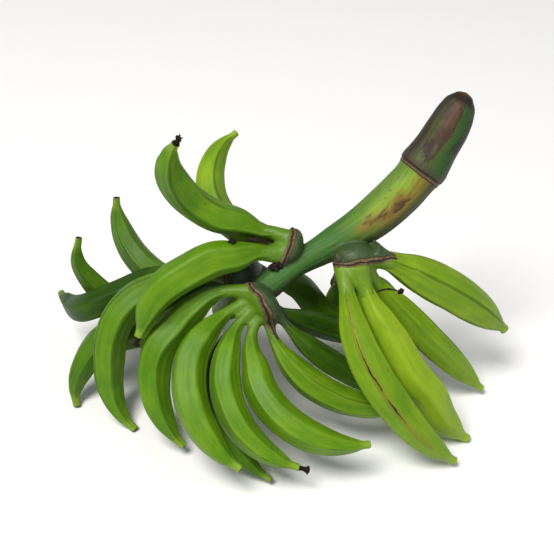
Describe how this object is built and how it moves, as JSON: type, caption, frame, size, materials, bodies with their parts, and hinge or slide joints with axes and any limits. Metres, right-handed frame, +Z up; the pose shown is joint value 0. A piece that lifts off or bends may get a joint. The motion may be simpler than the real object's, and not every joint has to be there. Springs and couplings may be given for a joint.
{
  "type": "bunch of plantains",
  "caption": "Bunch of green plantains: curved, ridged fingers in hands around a thick cut stalk, resting on its fingers.",
  "frame": {"origin": "on the surface the bunch rests on, under the middle of its bounding box", "axes": "+X towards the side on which the stalk's cut end stands up, along the bunch's longest extent; +Y away from the pictured side; +Z up"},
  "size_m": [0.5396, 0.3684, 0.3574],
  "materials": {
    "peel": "waxy green peel with a soft sheen, faint lengthwise streaks and brown scars on the ridges",
    "stalk_skin": "satin, green to olive with brown streaks and scars",
    "crown_skin": "dull green with brown scar lines",
    "dried": "dry, dark and rough"
  },
  "bodies": {
    "root": {"stalk": "stalk_skin", "hand_1_crown": "crown_skin", "hand_2_crown": "crown_skin", "hand_3_crown": "crown_skin", "hand_4_crown": "crown_skin", "hand_1_finger_1": "peel", "hand_1_finger_2": "peel", "hand_1_finger_3": "peel", "hand_1_finger_4": "peel", "hand_1_finger_5": "peel", "hand_1_finger_6": "peel", "hand_1_finger_7": "peel", "hand_2_finger_1": "peel", "hand_2_finger_1_dried_flower": "dried", "hand_2_finger_2": "peel", "hand_2_finger_3": "peel", "hand_2_finger_3_dried_flower": "dried", "hand_3_finger_1": "peel", "hand_3_finger_2": "peel", "hand_3_finger_3": "peel", "hand_3_finger_4": "peel", "hand_3_finger_4_dried_flower": "dried", "hand_3_finger_5": "peel", "hand_3_finger_6": "peel", "hand_3_finger_7": "peel", "hand_3_finger_8": "peel", "hand_4_finger_1": "peel", "hand_4_finger_2": "peel", "hand_4_finger_3": "peel", "hand_4_finger_4": "peel", "hand_4_finger_5": "peel", "hand_4_finger_6": "peel", "hand_4_finger_6_dried_flower": "dried", "hand_4_finger_7": "peel"}
  },
  "joints": []
}
